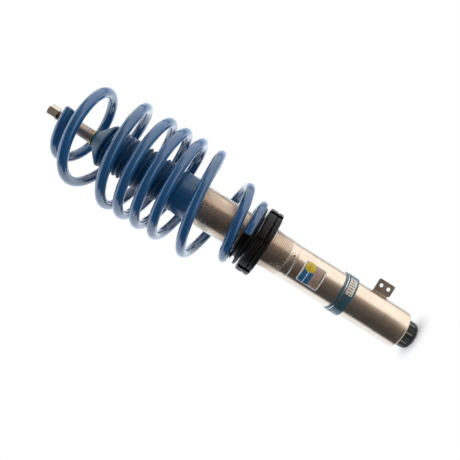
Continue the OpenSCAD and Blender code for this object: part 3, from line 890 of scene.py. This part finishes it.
def boot_shells():
    """Sleeve, cone and lip of the boot."""
    low, high = span("dust_sleeve")
    r = radius("dust_sleeve")
    sleeve = turned("sleeve_moulded", [
        (29, low + 0.6, 0.3), (29.4, low, 0.25), (r, low, 0.4), (r, low + 1.6, 0.3),
        (r - 0.35, low + 2.1, 0.3), (r - 0.35, high - 3.4, 0.4), (r, high - 2.6, 0.4), (r, high, 0.6),
        (29, high, 0.2)], "boot_sleeve", SLEEVE)
    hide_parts("dust_sleeve")
    low, high = span("boot_cap")
    edge = radius("boot_cap")
    rim_h = span("boot_retaining_ring")[1]
    slope = (edge - 12) / (high - 2.6 - rim_h)
    cap = turned("cap_moulded", [
        (9.3, high, 0.3), (12, high, 0.5), (12, high - 0.9, 0.2), (11.3, high - 1.2, 0.2),
        (11.3, high - 1.8, 0.2), (12, high - 2.6, 0.4), (edge - 1.2 * slope, rim_h + 1.2, 0.6),
        (edge, rim_h, 0.2), (edge - 1.8, low, 0.2), (12.5, high - 4.6, 1.0), (9.3, high - 4.2, 0.5)],
        "boot_carrier", CAP)
    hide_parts("boot_cap")
    low, high = span("boot_retaining_ring")
    lip = radius("boot_retaining_ring")
    ring = turned("cap_lip_moulded", [
        (edge - 1.2, high, 0.2), (edge + 0.06, high, 0.2), (lip - 0.2, low + 2.7, 0.3), (lip, low + 2.4, 0.2),
        (lip, low + 0.3, 0.3), (lip - 0.4, low, 0.2), (lip - 3.6, low, 0.2), (edge - 2.2, high - 2.0, 0.3)],
        "boot_carrier", BOOT)
    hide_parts("boot_retaining_ring")


bellows()
boot_shells()


# ---------------------------------------------------------------- top stud and nut
def top_stud():
    """Shank with its circlip groove, and the threaded stud above its shoulder."""
    low, high = span("top_stud")
    shank, stud, shoulder = 9, 6, 524
    clip_low = span("stud_circlip")[0] - 0.06
    profile = [(0, low), (14, low, 0.5), (14, low + 4, 0.6), (shank, low + 4, 0.5), (shank, clip_low, 0.1),
               (shank - 0.8, clip_low, 0.05), (shank - 0.8, clip_low + 1.5, 0.05),
               (shank, clip_low + 1.5, 0.1), (shank, shoulder - 0.6, 0.4), (shank - 0.6, shoulder, 0.2),
               (stud - 0.45, shoulder, 0.2), (stud - 0.45, high - 1, 0.3), (stud - 1.5, high, 0.3),
               (0, high)]
    rows = [ring_row(a, b, 96) for a, b in softened(profile, False)]
    verts, faces = loft(rows, False)
    polished = [face for face in faces if min(verts[i][2] for i in face) < up(shoulder) - 1e-6]
    threaded = [face for face in faces if min(verts[i][2] for i in face) >= up(shoulder) - 1e-6]
    ridge = helix_ridge(stud - 0.5, stud, shoulder + 3, high - 1.4, 1.25, 48)
    parts = [(verts, polished), (verts, threaded), ridge]
    obj = merged("top_stud_threaded", parts, "cartridge", [SHANK, DARK_STUD], [0, 1, 1])
    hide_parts("top_stud")


def hex_nut():
    """Hexagon nut: flats with turned chamfers at both ends and a chamfered bore."""
    low, high = span("top_nut")
    flat = radius("top_nut")
    corner = flat / math.cos(math.pi / 6)
    segments = 144
    bore, bevel = 6.06, 0.7

    def row(cone, height):
        points = []
        for k in range(segments):
            a = TAU * k / segments
            sector = (a + math.pi / 6) % (math.pi / 3) - math.pi / 6
            hexagon = flat / math.cos(sector)
            q = min(hexagon - 0.12 * (hexagon / corner) ** 12, cone)
            points.append(at_radius(q, a + math.pi / 2, height))
        return points

    face = flat - 0.3
    steps = [(face + (corner - face) * t, (corner - flat) * 0.62 * t ** 1.2) for t in (0.2, 0.4, 0.6, 0.8, 1)]
    rows = [row(bore + bevel, low), row(face, low)]
    rows += [row(cone, low + drop) for cone, drop in steps]
    rows += [row(cone, high - drop) for cone, drop in reversed(steps)]
    rows += [row(face, high), row(bore + bevel, high), row(bore, high - bevel), row(bore, low + bevel)]
    verts, faces = loft(rows, True)
    obj = make_object("top_nut_hexagon", verts, faces, "cartridge", [NUT], crease=28)
    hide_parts("top_nut")


top_stud()
hex_nut()


# ---------------------------------------------------------------- carried-over CAD nodes
NODE_FINISH = {
    "lower_guide_bush": BRONZE, "upper_guide_bush": BRONZE, "wiper_seal": RUBBER, "seal_retainer": PLAIN,
    "piston_rod": CHROME, "rod_base_nut": PLAIN, "bump_stop": FOAM, "bump_stop_cup": PLAIN,
    "rebound_bumper": RUBBER, "piston": ALUMINIUM, "piston_band": BAND, "compression_shims": STEEL,
    "rebound_shims": STEEL, "piston_nut": PLAIN, "adjuster_rod": BRASS, "cartridge_tube": CHROME,
    # The circlip's yellow is partly a painted glint.
    "cartridge_end_cap": PLAIN, "stud_circlip": CLIP_YELLOW_AND_GLINT, "rod_guide": ALUMINIUM, "rod_seal": RUBBER,
    "guide_circlip": PLAIN, "floating_piston": ALUMINIUM, "floating_piston_ring": RUBBER,
}
for node_name, finish in NODE_FINISH.items():
    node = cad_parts[node_name]
    if node.material_slots:
        for node_slot in node.material_slots:
            node_slot.material = finish
    else:
        node.data.materials.append(finish)


# ---------------------------------------------------------------- studio
def floor():
    """Small pale disc under the knob. A wider one would shine in the housing."""
    low = CAD_BOX[0].z - 0.0006
    mesh = bpy.data.meshes.new("floor")
    reach, count = 0.055, 96
    angles = [TAU * k / count for k in range(count)]
    verts = [(reach * math.cos(a), reach * math.sin(a), low) for a in angles]
    mesh.from_pydata(verts, [], [tuple(range(count))])
    paper = Finish("floor_paper", (0.92, 0.92, 0.92), 0.9)
    paper.shade(paper.noise(6, (1, 1, 1), 3, 0.5, 1), 0.01)
    paper.set("Emission Color", (1, 1, 1, 1))
    paper.set("Emission Strength", 0.2)
    mesh.materials.append(paper.material)
    obj = bpy.data.objects.new("floor", mesh)
    bpy.context.scene.collection.objects.link(obj)


# Light round the strut, in degrees from -Y (the camera's side) towards +X, as linear colours
ROUND_STOPS = (
    (-180, (0.79, 0.86, 0.97)), (-98, (0.82, 0.88, 0.96)), (-86, (0.05, 0.049, 0.048)),
    (-40, (0.053, 0.048, 0.046)), (0, (0.096, 0.086, 0.078)), (15, (0.155, 0.134, 0.12)),
    (32, (0.3, 0.257, 0.223)), (46, (0.96, 0.925, 0.87)), (112, (0.96, 0.955, 0.94)),
    (124, (0.29, 0.277, 0.267)), (136, (0.67, 0.72, 0.78)), (180, (0.79, 0.86, 0.97)))
# Colour overhead and below, by the sine of the elevation
HEIGHT_COLOURS = (
    (-1, (0.2, 0.21, 0.24)), (-0.3, (0.2, 0.21, 0.24)), (0.3, (0.9, 0.92, 0.98)), (1, (1.0, 1.0, 1.0)))
# Share of the overhead and lower colours in the mix, by the sine of the elevation
HEIGHT_SHARES = ((-1, 1.0), (-0.92, 0.9), (-0.8, 0.0), (0.8, 0.0), (0.92, 0.9), (1, 1.0))
# Where the twist starts and ends, as a share of the way from the lowest direction to the highest
TWIST_STOPS = ((0, (0, 0, 0)), (0.3, (0.5, 0.5, 0.5)), (0.7, (0.5, 0.5, 0.5)), (1, (1, 1, 1)))
# How far the pattern round the strut is twisted overhead and, the other way, below, in radians
TENT_TWIST = 1.5
TENT_STRENGTH = 1.6


def studio_world():
    """A light tent: what the strut reflects depends on the direction round its axis and on height."""
    world = bpy.data.worlds.new("studio")
    bpy.context.scene.world = world
    world.use_nodes = True
    tree = world.node_tree
    tree.nodes.clear()

    def node(kind, **fields):
        return add_node(tree, kind, **fields)

    def ramp(source, stops):
        return add_ramp(tree, source, stops)

    direction = node("ShaderNodeTexCoord").outputs["Generated"]
    parts = node("ShaderNodeSeparateXYZ")
    tree.links.new(direction, parts.inputs["Vector"])
    flip = node("ShaderNodeMath", operation="MULTIPLY")
    flip.inputs[1].default_value = -1
    tree.links.new(parts.outputs["Y"], flip.inputs[0])
    turn = node("ShaderNodeMath", operation="ARCTAN2")
    tree.links.new(parts.outputs["X"], turn.inputs[0])
    tree.links.new(flip.outputs[0], turn.inputs[1])
    share = node("ShaderNodeMapRange")
    share.inputs["From Min"].default_value = -math.pi
    share.inputs["From Max"].default_value = math.pi
    height = node("ShaderNodeMapRange")
    height.inputs["From Min"].default_value = -1
    height.inputs["From Max"].default_value = 1
    tree.links.new(parts.outputs["Z"], height.inputs["Value"])
    lean = node("ShaderNodeMath", operation="MULTIPLY_ADD")
    lean.inputs[1].default_value = -2 * TENT_TWIST
    lean.inputs[2].default_value = TENT_TWIST
    tree.links.new(ramp(height.outputs["Result"], TWIST_STOPS), lean.inputs[0])
    twisted = node("ShaderNodeMath", operation="ADD")
    tree.links.new(turn.outputs[0], twisted.inputs[0])
    tree.links.new(lean.outputs[0], twisted.inputs[1])
    wrapped = node("ShaderNodeMath", operation="WRAP")
    wrapped.inputs[1].default_value = -math.pi
    wrapped.inputs[2].default_value = math.pi
    tree.links.new(twisted.outputs[0], wrapped.inputs[0])
    tree.links.new(wrapped.outputs[0], share.inputs["Value"])
    around = ramp(share.outputs["Result"], [(at / 360 + 0.5, colour) for at, colour in ROUND_STOPS])
    vertical = ramp(height.outputs["Result"], [(0.5 + 0.5 * at, colour) for at, colour in HEIGHT_COLOURS])
    blend = ramp(height.outputs["Result"], [(0.5 + 0.5 * at, (amount,) * 3) for at, amount in HEIGHT_SHARES])
    mix = node("ShaderNodeMix", data_type="RGBA")
    tree.links.new(blend, mix.inputs["Factor"])
    tree.links.new(around, mix.inputs["A"])
    tree.links.new(vertical, mix.inputs["B"])
    tent = node("ShaderNodeBackground")
    tent.inputs["Strength"].default_value = TENT_STRENGTH
    tree.links.new(mix.outputs["Result"], tent.inputs["Color"])
    white = node("ShaderNodeBackground")
    white.inputs["Color"].default_value = (1, 1, 1, 1)
    seen = node("ShaderNodeLightPath")
    pick = node("ShaderNodeMixShader")
    tree.links.new(seen.outputs["Is Camera Ray"], pick.inputs["Fac"])
    tree.links.new(tent.outputs[0], pick.inputs[1])
    tree.links.new(white.outputs[0], pick.inputs[2])
    output = node("ShaderNodeOutputWorld")
    tree.links.new(pick.outputs[0], output.inputs["Surface"])


def lamp(name, place, aim, size, power, colour):
    """Soft lamp that lights the strut but isn't mirrored in it."""
    data = bpy.data.lights.new(name, "AREA")
    data.shape = "RECTANGLE"
    data.size, data.size_y = size
    data.energy = power
    data.color = colour
    obj = bpy.data.objects.new(name, data)
    bpy.context.scene.collection.objects.link(obj)
    obj.location = place
    obj.visible_glossy = False
    obj.rotation_mode = "QUATERNION"
    obj.rotation_quaternion = (Vector(aim) - Vector(place)).to_track_quat("-Z", "Z")


floor()
studio_world()
MIDDLE = (0, 0, up(290))
lamp("key", (1.1, -0.75, up(60)), MIDDLE, (0.5, 1.0), 6, (1, 0.97, 0.92))
lamp("fill", (-1.0, -0.5, up(560)), MIDDLE, (0.6, 1.0), 3, (0.88, 0.94, 1))
bpy.context.scene.view_settings.view_transform = "Standard"
